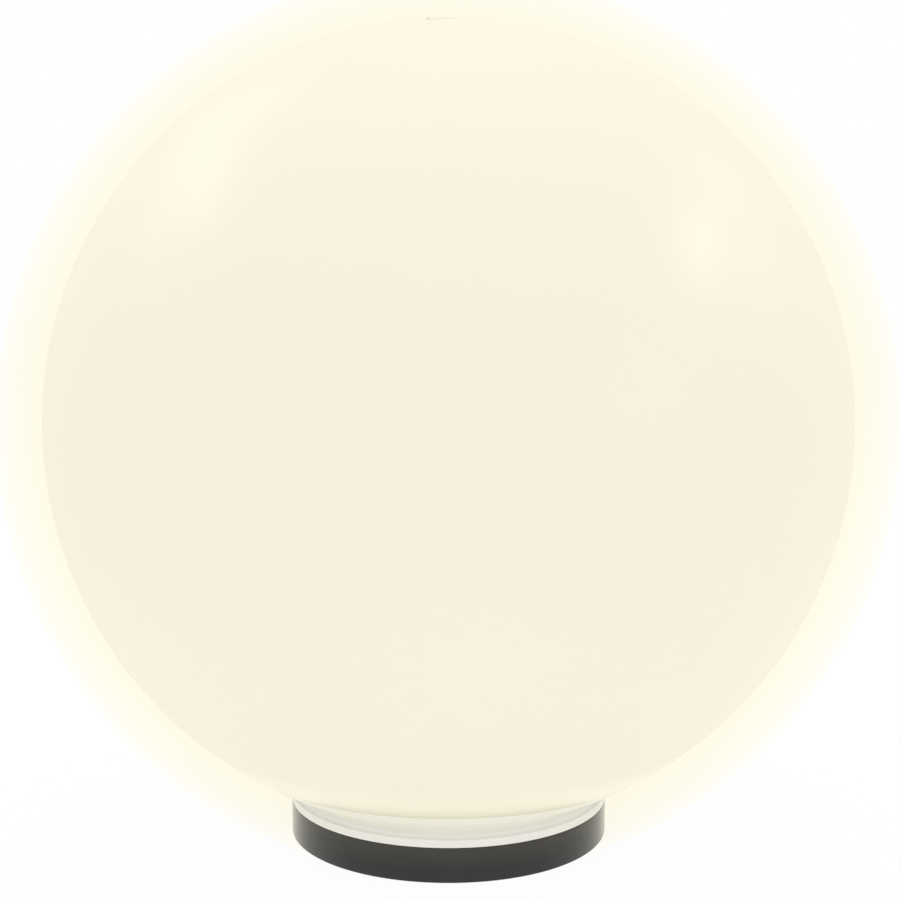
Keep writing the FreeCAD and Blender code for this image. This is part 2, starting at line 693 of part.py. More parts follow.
def block_screw():
    """The screw that fixes the terminal block to the floor."""
    seat = BASE_FLOOR + BLOCK_SIZE[2]
    return screw(HOLDER_SCREW, BLOCK_SIZE[2], 0, BLOCK_Y, seat)


def lead(x):
    """An inner lead from the terminal block round and up to the lampholder's terminal."""
    start_y = BLOCK_Y - INSERT_SIZE[1] / 2
    end_z = HOLDER_Z + terminal_top() - TERMINAL_SIZE[2]
    plate_z = HOLDER_Z - STRAP_T
    stops = [
        (start_y, INSERT_Z), (start_y - LEAD_RUN, INSERT_Z),
        (start_y - LEAD_REACH, (INSERT_Z + plate_z) / 2 - LEAD_SAG),
        (TERMINAL_Y, plate_z - LEAD_TURN), (TERMINAL_Y, end_z),
    ]
    points = [Vector(x, y, z) for y, z in stops]
    radii = []
    for before, corner, after in zip(points, points[1:], points[2:]):
        run = min((corner - before).Length, (after - corner).Length)
        turn = (corner - before).getAngle(after - corner)
        radii.append(0.45 * run / math.tan(turn / 2))
    path = bent_path(points, radii)
    leaving = (points[1] - points[0]).normalize()
    section = Part.Wire(Part.makeCircle(LEAD_R, points[0], leaving))
    sweep = Part.BRepOffsetAPI.MakePipeShell(path)
    sweep.setBiNormalMode(Vector(1, 0, 0))
    sweep.add(section)
    sweep.build()
    sweep.makeSolid()
    return sweep.shape(), path.Length, radii


def bulb_contact():
    """Solder contact at the foot of the bulb."""
    step = 0.9
    contact = turned_outline([
        (0, 0), (CONTACT_R - step, 0), (CONTACT_R, step), (CONTACT_R, CONTACT_H), (0, CONTACT_H),
    ])
    contact.translate(Vector(0, 0, BULB_Z))
    return contact


def cap_insulator():
    """Black insulating cone between the centre contact and the cap."""
    plug_r = CAP_MOUTH_R - CAP_FIT
    cone = turned_outline([
        (0, CONTACT_H), (CONTACT_R, CONTACT_H), (plug_r, CAP_BASE), (plug_r, CAP_BASE + 1), (0, CAP_BASE + 1),
    ])
    cone.translate(Vector(0, 0, BULB_Z))
    return cone


def bulb_cap():
    """E27 cap as a thin tube with a coned foot."""
    inner = CAP_R - CAP_WALL
    shoulder = CAP_R - CAP_MOUTH_R
    cap = turned_outline([
        (CAP_MOUTH_R, CAP_BASE), (CAP_R, CAP_BASE + shoulder), (CAP_R, CAP_TOP),
        (inner, CAP_TOP), (inner, CAP_BASE + shoulder + CAP_WALL / 2),
        (CAP_MOUTH_R, CAP_BASE + 1.4 * CAP_WALL),
    ])
    cap.translate(Vector(0, 0, BULB_Z))
    return cap


def bulb_housing():
    """Bulb's white body: a plug in the cap, a flared shell and a rim with a ledge inside."""
    plug = CAP_R - CAP_WALL - CAP_FIT
    plug_base = CAP_TOP - 14
    neck_z = CAP_TOP + CAP_FIT
    collar = CAP_R + CAP_WALL
    bore = plug - BULB_SHELL_WALL
    ledge_z = BULB_RIM_TOP - BOARD_DROP
    ledge_r = BULB_RIM_R - BULB_RIM_WALL - 1.5
    mid_z = (neck_z + BULB_RIM_BASE) / 2
    mid_r = collar + 0.36 * (BULB_RIM_R - collar)
    rim_in = BULB_RIM_R - BULB_RIM_WALL
    edges = [
        line(point(bore, plug_base), point(plug, plug_base)),
        line(point(plug, plug_base), point(plug, neck_z)),
        line(point(plug, neck_z), point(collar, neck_z)),
        arc(point(collar, neck_z), point(mid_r, mid_z), point(BULB_RIM_R, BULB_RIM_BASE)),
        line(point(BULB_RIM_R, BULB_RIM_BASE), point(BULB_RIM_R, BULB_RIM_TOP)),
        line(point(BULB_RIM_R, BULB_RIM_TOP), point(rim_in, BULB_RIM_TOP)),
        line(point(rim_in, BULB_RIM_TOP), point(rim_in, ledge_z)),
        line(point(rim_in, ledge_z), point(ledge_r, ledge_z)),
        line(point(ledge_r, ledge_z), point(ledge_r, ledge_z - 3)),
        arc(point(ledge_r, ledge_z - 3), point(mid_r - 1.2 * BULB_SHELL_WALL, mid_z), point(bore, neck_z)),
        line(point(bore, neck_z), point(bore, plug_base)),
    ]
    housing = turned(edges)
    housing.translate(Vector(0, 0, BULB_Z))
    return housing


def bulb_diffuser():
    """Opal dome that stands on the bulb's rim."""
    centre = BULB_H - DOME_R
    inner = DOME_R - DOME_WALL
    drop = centre - BULB_RIM_TOP
    out_r = math.sqrt(DOME_R ** 2 - drop ** 2)
    in_r = math.sqrt(inner ** 2 - drop ** 2)
    foot_out = point(out_r, BULB_RIM_TOP)
    foot_in = point(in_r, BULB_RIM_TOP)
    top_out = point(0, BULB_H)
    top_in = point(0, BULB_H - DOME_WALL)
    dome = turned([
        arc(foot_out, point(DOME_R, centre), top_out),
        line(top_out, top_in),
        arc(top_in, point(inner, centre), foot_in),
        line(foot_in, foot_out),
    ])
    dome.translate(Vector(0, 0, BULB_Z))
    return dome


def board_top():
    """Height of the LED board's top face above the bulb's contact."""
    return BULB_RIM_TOP - BOARD_DROP + BOARD_T


def led_board():
    """Round aluminium board on the ledge of the bulb's rim."""
    r = BULB_RIM_R - BULB_RIM_WALL - 2 * CAP_FIT
    return cylinder(r, BULB_Z + board_top() - BOARD_T, BULB_Z + board_top())


def led_chips():
    """A ring of LED chips on the board."""
    chip = block(CHIP_SIZE, (CHIP_RING_R, 0), BULB_Z + board_top())
    return Part.makeCompound(around(chip, CHIP_COUNT))


def bulb_driver():
    """Driver board upright in the bulb's plug, with a capacitor and a transformer."""
    plug_bore = CAP_R - CAP_WALL - CAP_FIT - BULB_SHELL_WALL
    half = plug_bore - 2 * CAP_FIT
    low = BULB_Z + DRIVER_BASE
    board = block((BOARD_T, 2 * math.sqrt(half ** 2 - BOARD_T ** 2), DRIVER_TOP - DRIVER_BASE), (0, 0), low)
    radius, offset, base, height = CAPACITOR
    capacitor = cylinder(radius, low + base, low + base + height, offset, 0)
    transformer = block(TRANSFORMER, (-TRANSFORMER[0] / 2, 0), low + TRANSFORMER_BASE)
    return joined(board, capacitor, transformer)


def save(name, shape):
    """Write one sub-part as a STEP file and report its volume."""
    shape.exportStep("parts/" + name + ".step")
    print(f"{name}: {len(shape.Solids)} solid(s), {shape.Volume:.1f} mm3, valid {shape.isValid()}")


def main():
    """Build every sub-part and write it to the parts folder."""
    os.makedirs("parts", exist_ok=True)
    save("globe", globe())
    save("globe_cup", globe_cup())
    save("neck_collar", neck_collar())
    save("neck_seal", neck_seal())
    save("base_housing", base_housing())
    save("base_floor", base_floor())
    save("cable_grommet", cable_grommet())
    save("cord_clamp", cord_clamp())
    save("clamp_screws", clamp_screws())
    save("lamp_bracket", lamp_bracket())
    save("bracket_screws", bracket_screws())
    save("lampholder_body", lampholder_body())
    save("lampholder_shell", lampholder_shell())
    save("centre_contact", centre_contact())
    save("holder_terminals", holder_terminals())
    save("lampholder_screws", lampholder_screws())
    save("terminal_block", terminal_block())
    save("terminal_inserts", terminal_inserts())
    save("terminal_screws", terminal_screws())
    save("block_screw", block_screw())
    for name, x in (("lead_live", -LEAD_X), ("lead_neutral", LEAD_X)):
        wire, length, radii = lead(x)
        save(name, wire)
        expected = math.pi * LEAD_R ** 2 * length
        print(f"  section times length {expected:.1f} mm3, radii", [round(r, 1) for r in radii])
    save("bulb_contact", bulb_contact())
    save("cap_insulator", cap_insulator())
    save("bulb_cap", bulb_cap())
    save("bulb_housing", bulb_housing())
    save("bulb_diffuser", bulb_diffuser())
    save("led_board", led_board())
    save("led_chips", led_chips())
    save("bulb_driver", bulb_driver())


main()
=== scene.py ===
"""Looks of a garden globe light: a lit opal sphere, a white neck and collar, a black base ring.

Metres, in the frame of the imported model: +Z up, +Y to the back, and the origin at the centre
of the base's underside.
"""
import json
import math

import bpy
import numpy as np
from bpy.props import FloatProperty, FloatVectorProperty, PointerProperty
from bpy.types import Operator, Panel, PropertyGroup
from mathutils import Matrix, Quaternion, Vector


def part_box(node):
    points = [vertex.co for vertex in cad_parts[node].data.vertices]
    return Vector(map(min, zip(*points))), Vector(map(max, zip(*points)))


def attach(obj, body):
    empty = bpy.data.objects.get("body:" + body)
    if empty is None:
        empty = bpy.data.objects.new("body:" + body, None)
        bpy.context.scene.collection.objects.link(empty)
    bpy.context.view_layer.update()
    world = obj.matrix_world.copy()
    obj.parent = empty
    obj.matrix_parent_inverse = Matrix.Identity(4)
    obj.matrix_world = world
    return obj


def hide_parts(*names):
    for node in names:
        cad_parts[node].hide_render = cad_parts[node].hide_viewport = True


bl_info = {
    "name": "Garden globe light",
    "version": (1, 0, 0),
    "blender": (4, 5, 0),
    "location": "View3D > Sidebar > Globe light",
    "description": "Builds the opal globe, its neck, its base ring and the lamp inside",
    "category": "Object",
}

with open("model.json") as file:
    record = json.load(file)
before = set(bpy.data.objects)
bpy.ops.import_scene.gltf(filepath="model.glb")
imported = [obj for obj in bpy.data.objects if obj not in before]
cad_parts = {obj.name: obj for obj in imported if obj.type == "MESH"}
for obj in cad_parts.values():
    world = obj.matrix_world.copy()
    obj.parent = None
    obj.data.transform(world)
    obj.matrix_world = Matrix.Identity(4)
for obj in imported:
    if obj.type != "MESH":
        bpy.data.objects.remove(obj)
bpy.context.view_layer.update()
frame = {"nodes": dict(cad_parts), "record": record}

# Places read from the frame
GLOBE_LOW, GLOBE_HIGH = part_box("globe")
GLOBE_R = round(max(GLOBE_HIGH.x, -GLOBE_LOW.x, GLOBE_HIGH.y, -GLOBE_LOW.y), 4)
GLOBE_Z = GLOBE_HIGH.z - GLOBE_R
RING_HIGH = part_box("base_housing")[1]
SEAL_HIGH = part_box("neck_seal")[1]
COLLAR_LOW, COLLAR_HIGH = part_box("neck_collar")
CUP_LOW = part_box("globe_cup")[0]
HOLDER_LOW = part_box("lampholder_body")[0]
SHELL_LOW, SHELL_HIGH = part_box("lampholder_shell")


class GlobeSettings(PropertyGroup):
    """The opal globe and the light that it gives off."""

    wall: FloatProperty(
        name="Wall", description="Thickness of the blown acrylic", default=0.0025,
        min=0.001, max=0.006, unit="LENGTH")
    mouth_radius: FloatProperty(
        name="Mouth radius", description="Radius of the mouth that the cup is bonded into",
        default=0.1064, min=0.08, max=0.15, unit="LENGTH")
    lip: FloatProperty(
        name="Lip", description="Bevel on the lip where the globe meets the cup",
        default=0.0004, min=0.0, max=0.002, unit="LENGTH")
    scar_length: FloatProperty(
        name="Scar length", description="Length of the pinch-off scar near the top",
        default=0.0153, min=0.0, max=0.03, unit="LENGTH")
    scar_height: FloatProperty(
        name="Scar height", description="How far the scar stands proud of the skin",
        default=0.0004, min=0.0, max=0.002, unit="LENGTH")
    scar_shift: FloatProperty(
        name="Scar shift", description="How far the scar's middle lies left of the axis",
        default=0.0025, min=-0.02, max=0.02, unit="LENGTH")
    colour: FloatVectorProperty(
        name="Colour", description="Colour of the acrylic when the lamp is off",
        subtype="COLOR", size=3, default=(0.30, 0.29, 0.26), min=0, max=1)
    glow_colour: FloatVectorProperty(
        name="Glow colour", description="Colour of the light through the acrylic",
        subtype="COLOR", size=3, default=(1.0, 0.96, 0.777), min=0, max=1)
    glow: FloatProperty(
        name="Glow", description="Strength of the light through the acrylic",
        default=0.560, min=0.0, max=4.0)


class NeckSettings(PropertyGroup):
    """The white cup that carries the globe, and the collar under it."""

    neck_radius: FloatProperty(
        name="Neck radius", description="Radius of the upright neck", default=0.078,
        min=0.05, max=0.1, unit="LENGTH")
    fillet: FloatProperty(
        name="Fillet", description="Radius between the round skin and the neck",
        default=0.004, min=0.0005, max=0.006, unit="LENGTH")
    foot: FloatProperty(
        name="Foot", description="Radius between the neck and the flange under it",
        default=0.0018, min=0.0005, max=0.0022, unit="LENGTH")
    cup_wall: FloatProperty(
        name="Cup wall", description="Thickness of the cup's spigot", default=0.0022,
        min=0.001, max=0.004, unit="LENGTH")
    spigot_lap: FloatProperty(
        name="Spigot lap", description="How far the spigot reaches up inside the globe",
        default=0.007, min=0.002, max=0.02, unit="LENGTH")
    skirt_radius: FloatProperty(
        name="Skirt radius", description="Radius of the skirt inside the base ring",
        default=0.074, min=0.05, max=0.1, unit="LENGTH")
    skirt_wall: FloatProperty(
        name="Skirt wall", description="Thickness of the skirt", default=0.0022,
        min=0.001, max=0.004, unit="LENGTH")
    flange_height: FloatProperty(
        name="Flange height", description="Height of the flange on the base ring",
        default=0.0038, min=0.002, max=0.01, unit="LENGTH")
    flange_edge: FloatProperty(
        name="Flange edge", description="Rounding of the flange's edges", default=0.0005,
        min=0.0001, max=0.001, unit="LENGTH")
    lock_pitch: FloatProperty(
        name="Lock pitch", description="Rise of the twist lock's lugs in a whole turn",
        default=0.018, min=0.005, max=0.04, unit="LENGTH")


class LampSettings(PropertyGroup):
    """The screw thread that the bulb's cap and the lampholder share."""

    thread_pitch: FloatProperty(
        name="Thread pitch", description="Rise of the thread in a whole turn",
        default=0.0254 / 7, min=0.001, max=0.01, unit="LENGTH")
    thread_wave: FloatProperty(
        name="Thread wave", description="Half of the rolled thread's depth",
        default=0.00022, min=0.0, max=0.0005, unit="LENGTH")


class StageSettings(PropertyGroup):
    """The camera and the halo of the lit globe."""

    camera_distance: FloatProperty(
        name="Camera distance", description="From the globe's axis to the camera",
        default=0.8923, min=0.3, max=5.0, unit="LENGTH")
    camera_height: FloatProperty(
        name="Camera height", description="Height of the camera above the floor",
        default=0.3222, min=0.0, max=3.0, unit="LENGTH")
    camera_side: FloatProperty(
        name="Camera side", description="How far the camera stands right of the axis",
        default=0.0007, min=-1.0, max=1.0, unit="LENGTH")
    camera_tilt: FloatProperty(
        name="Camera tilt", description="How far the camera looks down",
        default=math.radians(7.988), subtype="ANGLE")
    focal_length: FloatProperty(
        name="Focal length", description="Lens in millimetres on a 36 mm sensor",
        default=71.305, min=10.0, max=300.0)
    halo: FloatProperty(
        name="Halo", description="How far the warm halo reaches past the globe",
        default=0.022, min=0.0, max=0.1, unit="LENGTH")


class GlobeLight(PropertyGroup):
    """All the settings of the light."""

    globe: PointerProperty(type=GlobeSettings)
    neck: PointerProperty(type=NeckSettings)
    lamp: PointerProperty(type=LampSettings)
    stage: PointerProperty(type=StageSettings)


def settings():
    """The light's settings in this scene."""
    return bpy.context.scene.globe_light


# The span that most of a noise texture's values keep to, stretched to a material's own span
NOISE_SPAN = {"From Min": 0.3, "From Max": 0.7}


# Shapes, worked out with numpy

def sphere_arc(radius, low, high, count):
    """Points (r, z) on a sphere about the globe's centre: r = R sin a, z = centre - R cos a."""
    angle = np.linspace(low, high, count)
    return np.column_stack([radius * np.sin(angle), GLOBE_Z - radius * np.cos(angle)])


def round_arc(centre, radius, start, end, count=8):
    """Points (r, z) on a circle about a centre, from one direction to another, in degrees."""
    angle = np.radians(np.linspace(start, end, count))
    return np.column_stack([centre[0] + radius * np.cos(angle), centre[1] + radius * np.sin(angle)])


def turned(profile, sides, wave=None):
    """Turn a closed profile of (r, z) points about Z: x = r cos t, y = r sin t, t on an even grid.

    Where wave is given, it holds one amplitude for each point, and the radius becomes
    r + amplitude * cos(2 pi z / pitch - t), a right-handed rolled thread. The grid wraps round
    without a seam, and a point on the axis is one shared vertex.
    """
    r, z = profile[:, 0], profile[:, 1]
    pole = r < 1e-9
    count = np.where(pole, 1, sides)
    first = np.cumsum(count) - count
    step = np.arange(sides)
    index = first[:, None] + np.where(pole[:, None], 0, step)
    angle = 2 * np.pi * step / sides
    radius = np.repeat(r[:, None], sides, axis=1)
    if wave is not None:
        turn = 2 * np.pi * z[:, None] / settings().lamp.thread_pitch
        radius = radius + wave[:, None] * np.cos(turn - angle)
    points = np.zeros((count.sum(), 3))
    height = np.repeat(z[:, None], sides, axis=1)
    points[index] = np.stack([radius * np.cos(angle), radius * np.sin(angle), height], axis=-1)
    ahead, above = np.roll(index, -1, axis=1), np.roll(index, -1, axis=0)
    quads = np.stack([index, ahead, np.roll(above, -1, axis=1), above], axis=-1)
    return facing_out(points, quads.reshape(-1, 4))


def tube_grid(points, count):
    """Faces of a grid of rings, closed round each ring, with the first and last ring capped."""
    index = np.arange(len(points)).reshape(count, -1)
    ahead = np.roll(index, -1, axis=1)
    quads = np.stack([index[:-1], ahead[:-1], ahead[1:], index[1:]], axis=-1).reshape(-1, 4)
    return facing_out(points, quads, np.stack([index[0, ::-1], index[-1]]))


def facing_out(points, quads, caps=()):
    """Turn the faces so that the volume, the sum of a . (b x c) over the triangles, is positive.

    A quad that touches the axis has a corner twice and becomes a triangle, and one that lies
    along the axis is dropped.
    """
    a, b, c, d = (points[quads[:, corner]] for corner in range(4))
    volume = (a * np.cross(b, c)).sum() + (a * np.cross(c, d)).sum()
    order = slice(None) if volume > 0 else slice(None, None, -1)
    quads = quads[:, order]
    twice = quads == np.roll(quads, -1, axis=1)
    whole = quads[twice.sum(axis=1) == 0]
    touching = twice.sum(axis=1) == 1
    corners = quads[touching][~twice[touching]].reshape(-1, 3)
    ends = [cap[order].tolist() for cap in caps]
    return points, whole.tolist() + corners.tolist() + ends


def faded(height, low_end, high_end):
    """A thread's share of its full wave: it runs out over a length at each end of the heights."""
    rising = np.clip((height - height[0]) / low_end, 0, 1)
    return rising * np.clip((height[-1] - height) / high_end, 0, 1)


def moved(part, offset):
    """A part of a mesh moved by an offset."""
    points, faces = part
    return points + np.array(offset), faces


def make_piece(name, parts, material, body=None, nodes=(), sharp=35.0):
    """Join (points, faces) parts into one smooth object that rides on a body and stands for nodes.

    Edges that turn by more than the sharp angle, in degrees, stay crisp.
    """
    points = np.concatenate([p for p, _ in parts])
    starts = np.cumsum([0] + [len(p) for p, _ in parts])
    faces = [[int(start) + i for i in face] for (_, fs), start in zip(parts, starts) for face in fs]
    mesh = bpy.data.meshes.new(name)
    mesh.from_pydata(points.tolist(), [], faces)
    mesh.shade_smooth()
    mesh.set_sharp_from_angle(angle=math.radians(sharp))
    mesh.materials.append(material)
    piece = bpy.data.objects.new(name, mesh)
    bpy.context.scene.collection.objects.link(piece)
    if body:
        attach(piece, body)
    if nodes:
        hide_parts(*nodes)
    return piece


def merged_solid(node):
    """The CAD node's own triangles, with the corners that share a place made one."""
    source = frame["nodes"][node].data
    corners = np.empty(len(source.vertices) * 3)
    source.vertices.foreach_get("co", corners)
    index = np.empty(len(source.loops), int)
    source.loops.foreach_get("vertex_index", index)
    points, place = np.unique(corners.reshape(-1, 3).round(7), axis=0, return_inverse=True)
    triangles = place.reshape(-1)[index].reshape(-1, 3)
    good = (triangles != np.roll(triangles, 1, axis=1)).all(axis=1)
    return points, triangles[good].tolist()


def smooth_node(node, material, sharp=30.0):
    """Show a CAD node as a merged, smooth-shaded piece of the same shape."""
    record = frame["record"]
    bodies = record["behaviour"]["bodies"]
    body = next(name for name, nodes in bodies.items() if node in nodes)
    return make_piece(node + "_smooth", [merged_solid(node)], material, body, [node], sharp)


# Materials

def linear(code):
    """An sRGB hex colour as linear red, green, blue and alpha."""
    share = np.array([int(code[k:k + 2], 16) for k in (1, 3, 5)]) / 255
    value = np.where(share <= 0.04045, share / 12.92, ((share + 0.055) / 1.055) ** 2.4)
    return (*value.tolist(), 1.0)


def feed(tree, target, inputs):
    """Give a node's inputs their values, or link them to the sockets given."""
    for key, value in inputs.items():
        if isinstance(value, bpy.types.NodeSocket):
            tree.links.new(value, target.inputs[key])
        else:
            target.inputs[key].default_value = value


def add(tree, kind, inputs, **options):
    """Add a node of a kind with its inputs, as values or sockets, and its options."""
    made = tree.nodes.new("ShaderNode" + kind)
    for key, value in options.items():
        setattr(made, key, value)
    feed(tree, made, inputs)
    return made


def finish(name, inputs):
    """A new material, its tree and its Principled shader, which has these inputs."""
    material = bpy.data.materials.new(name)
    material.use_nodes = True
    tree = material.node_tree
    shader = tree.nodes["Principled BSDF"]
    feed(tree, shader, inputs)
    return material, tree, shader


def grain(tree, shader, cell, depth, detail=2.0):
    """Bump of noise whose cells are a real size across, and how deep it is, in metres."""
    place = add(tree, "TexCoord", {})
    noise = add(tree, "TexNoise", {
        "Vector": place.outputs["Object"], "Scale": 1 / cell, "Detail": detail})
    bump = add(tree, "Bump", {"Height": noise.outputs["Fac"], "Distance": depth, "Strength": 1.0})
    feed(tree, shader, {"Normal": bump.outputs["Normal"]})
    return noise


def height_share(tree, low, high, at_low, at_high):
    """A smooth step over the Object height, from one value at low to another at high."""
    place = add(tree, "TexCoord", {})
    axes = add(tree, "SeparateXYZ", {"Vector": place.outputs["Object"]})
    step = add(tree, "MapRange", {
        "Value": axes.outputs["Z"], "From Min": low, "From Max": high,
        "To Min": at_low, "To Max": at_high}, interpolation_type="SMOOTHSTEP")
    return step.outputs["Result"]


def two_tones(tree, shader, noise, first, second):
    """Base colour between two hex colours by a noise node."""
    tone = add(tree, "Mix", {"Factor": noise.outputs["Fac"]}, data_type="RGBA")
    tone.inputs["A"].default_value = linear(first)
    tone.inputs["B"].default_value = linear(second)
    feed(tree, shader, {"Base Color": tone.outputs["Result"]})


def opal_acrylic():
    """Opal PMMA, blown: milky and evenly lit through its wall, under a soft gloss."""
    globe = settings().globe
    material, tree, shader = finish("opal_acrylic_blown", {
        "Base Color": (*globe.colour, 1.0), "Roughness": 0.5, "Specular IOR Level": 0.0,
        "Coat Weight": 1.0, "Coat Roughness": 0.30, "Coat IOR": 1.49,
        "Emission Color": (*globe.glow_colour, 1.0)})
    # The cup's spigot inside the mouth shades the lowest 6 mm of the globe.
    lap = height_share(tree, 0.0400, 0.0460, 0.83, 1.0)
    # The bulb stands low in the globe, so the lower wall is lit more, most of all at its rim.
    low = height_share(tree, 0.05, 0.22, 1.072, 1.0)
    rim = height_share(tree, 0.047, 0.066, 1.12, 1.0)
    # Its dome sends most of its light up, so the upper wall is a little brighter too.
    high = height_share(tree, 0.22, 0.40, 1.0, 1.037)
    # The blown wall varies a little in thickness, over about 90 mm.
    place = add(tree, "TexCoord", {})
    cloud = add(tree, "TexNoise", {
        "Vector": place.outputs["Object"], "Scale": 1 / 0.09, "Detail": 1.0})
    uneven = add(tree, "MapRange", {
        "Value": cloud.outputs["Fac"], **NOISE_SPAN,
        "To Min": 0.996 * globe.glow, "To Max": 1.004 * globe.glow})
    strength = uneven.outputs["Result"]
    for share in (lap, low, rim, high):
        product = add(tree, "Math", {0: strength, 1: share}, operation="MULTIPLY")
        strength = product.outputs["Value"]
    feed(tree, shader, {"Emission Strength": strength})
    return material


def scar_acrylic():
    """The same PMMA, pinched off thicker, so that less light comes through."""
    globe = settings().globe
    material, tree, shader = finish("opal_acrylic_scar", {
        "Base Color": (*globe.colour, 1.0), "Roughness": 0.5, "IOR": 1.49,
        "Emission Color": (*globe.glow_colour, 1.0)})
    # Torn edges of about 1 mm.
    noise = grain(tree, shader, 0.001, 0.0001)
    torn = add(tree, "MapRange", {
        "Value": noise.outputs["Fac"], **NOISE_SPAN,
        "To Min": 0.78 * globe.glow, "To Max": 0.88 * globe.glow})
    # The left end, where the tail tore off, is thickest.
    place = add(tree, "TexCoord", {})
    axes = add(tree, "SeparateXYZ", {"Vector": place.outputs["Object"]})
    thick = add(tree, "MapRange", {
        "Value": axes.outputs["X"], "From Min": -0.0095, "From Max": -0.0080,
        "To Min": 0.78, "To Max": 1.0})
    strength = add(tree, "Math", {
        0: torn.outputs["Result"], 1: thick.outputs["Result"]}, operation="MULTIPLY")
    feed(tree, shader, {"Emission Strength": strength.outputs["Value"]})
    return material


def white_abs():
    """White ABS, injection moulded: cool white and satin, with a painted glow near the globe."""
    globe = settings().globe
    material, tree, shader = finish("white_abs_moulded", {
        "Roughness": 0.38, "IOR": 1.53, "Emission Color": (*globe.glow_colour, 1.0)})
    # Painted shade: the neck under the globe's overhang is a little darker than the flange.
    neck_painted_shade = height_share(tree, COLLAR_HIGH.z - 0.003, CUP_LOW.z + 0.0025, 0.0, 1.0)
    tone = add(tree, "Mix", {"Factor": neck_painted_shade}, data_type="RGBA")
    tone.inputs["A"].default_value = linear("#E7E7E9")
    tone.inputs["B"].default_value = linear("#DDDDDB")
    # Painted glow: the wall glows a little at the neck, most on the round skin over it, and less
    # again under the joint, where the spigot doubles the wall and shades it.
    neck_painted_glow = height_share(tree, 0.0232, 0.0275, 0.04 * globe.glow, 0.32 * globe.glow)
    skin_painted_glow = height_share(tree, 0.0290, 0.0370, 0.0, 0.15 * globe.glow)
    joint_shade = height_share(tree, 0.0375, 0.0406, 1.0, 0.86)
    through = add(tree, "Math", {0: neck_painted_glow, 1: skin_painted_glow}, operation="ADD")
    painted_glow = add(tree, "Math", {
        0: through.outputs["Value"], 1: joint_shade}, operation="MULTIPLY")
    feed(tree, shader, {
        "Base Color": tone.outputs["Result"], "Emission Strength": painted_glow.outputs["Value"]})
    # Spark-eroded grain of 0.2 mm, drawn at 0.8 mm so that it shows.
    grain(tree, shader, 0.0008, 0.00001)
    return material


def black_polypropylene():
    """Black polypropylene, injection moulded: satin, with a fine grain that breaks up its gloss."""
    material, tree, shader = finish("black_polypropylene_moulded", {
        "IOR": 1.52, "Sheen Weight": 1.0, "Sheen Roughness": 0.3})
    # Spark-eroded grain of 0.2 mm, drawn at 0.6 mm so that it shows.
    noise = grain(tree, shader, 0.0006, 0.00001)
    gloss = add(tree, "MapRange", {
        "Value": noise.outputs["Fac"], **NOISE_SPAN,
        "To Min": 0.12, "To Max": 0.17})
    # Splashed grit has dulled it towards its foot.
    foot = height_share(tree, 0.0003, RING_HIGH.z, 0.10, 0.0)
    rough = add(tree, "Math", {0: gloss.outputs["Result"], 1: foot}, operation="ADD")
    # Painted light and shade: a paler, warmer top under the globe, a darker, cooler foot.
    painted_light_and_shade = height_share(tree, 0.004, RING_HIGH.z, 0.0, 1.0)
    colour = add(tree, "Mix", {"Factor": painted_light_and_shade}, data_type="RGBA")
    colour.inputs["A"].default_value = linear("#0A0E10")
    colour.inputs["B"].default_value = linear("#2C2A26")
    feed(tree, shader, {
        "Roughness": rough.outputs["Value"], "Base Color": colour.outputs["Result"]})
    return material


def epdm_rubber():
    """Black EPDM, moulded: dull, with a dusty bloom in patches of a few millimetres."""
    material, tree, shader = finish("epdm_rubber_moulded", {"Roughness": 0.68, "IOR": 1.52})
    noise = grain(tree, shader, 0.003, 0.00003)
    two_tones(tree, shader, noise, "#19191A", "#2B2B2C")
    return material


def natural_nylon():
    """Natural polyamide, moulded: ivory white and slightly waxy, with soft flow marks of 4 mm."""
    material, tree, shader = finish("natural_nylon_moulded", {"Roughness": 0.42, "IOR": 1.53})
    noise = grain(tree, shader, 0.004, 0.00002)
    two_tones(tree, shader, noise, "#DCDACC", "#E8E6DC")
    return material


def zinc_plated():
    """Zinc-plated steel, passivated: bright and bluish with a faint yellow cast in places."""
    material, tree, shader = finish("zinc_plated_steel", {"Metallic": 1.0, "Roughness": 0.28})
    noise = grain(tree, shader, 0.002, 0.00001)
    two_tones(tree, shader, noise, "#C3C8CC", "#C9C4B0")
    return material


def galvanised_sheet():
    """Hot-dip galvanised sheet: a patchwork of grey crystals about 6 mm across."""
    material, tree, shader = finish("galvanised_sheet", {"Metallic": 1.0})
    place = add(tree, "TexCoord", {})
    spangle = add(tree, "TexVoronoi", {"Vector": place.outputs["Object"], "Scale": 1 / 0.006})
    tone = add(tree, "SeparateColor", {"Color": spangle.outputs["Color"]})
    colour = add(tree, "MapRange", {
        "Value": tone.outputs["Red"], "To Min": 0.31, "To Max": 0.52})
    rough = add(tree, "MapRange", {
        "Value": tone.outputs["Green"], "To Min": 0.30, "To Max": 0.48})
    feed(tree, shader, {
        "Base Color": colour.outputs["Result"], "Roughness": rough.outputs["Result"]})
    return material


def glazed_porcelain():
    """Glazed white porcelain: a hard gloss that pools a little, over 8 mm."""
    material, tree, shader = finish("porcelain_glazed", {"Roughness": 0.10, "IOR": 1.50})
    noise = grain(tree, shader, 0.008, 0.00012, 1.0)
    two_tones(tree, shader, noise, "#EAE8DF", "#F2F1EB")
    return material


def rolled_nickel():
    """Nickel-plated brass, rolled: warm silver with drawing lines of 0.5 mm round it."""
    material, tree, shader = finish("nickel_plated_brass", {
        "Base Color": linear("#C9C3B6"), "Metallic": 1.0})
    place = add(tree, "TexCoord", {})
    stretched = add(tree, "Mapping", {
        "Vector": place.outputs["Object"], "Scale": (0.05, 0.05, 1.0)})
    lines = add(tree, "TexNoise", {"Vector": stretched.outputs["Vector"], "Scale": 1 / 0.0005})
    rough = add(tree, "MapRange", {
        "Value": lines.outputs["Fac"], **NOISE_SPAN, "To Min": 0.16, "To Max": 0.30})
    feed(tree, shader, {"Roughness": rough.outputs["Result"]})
    return material


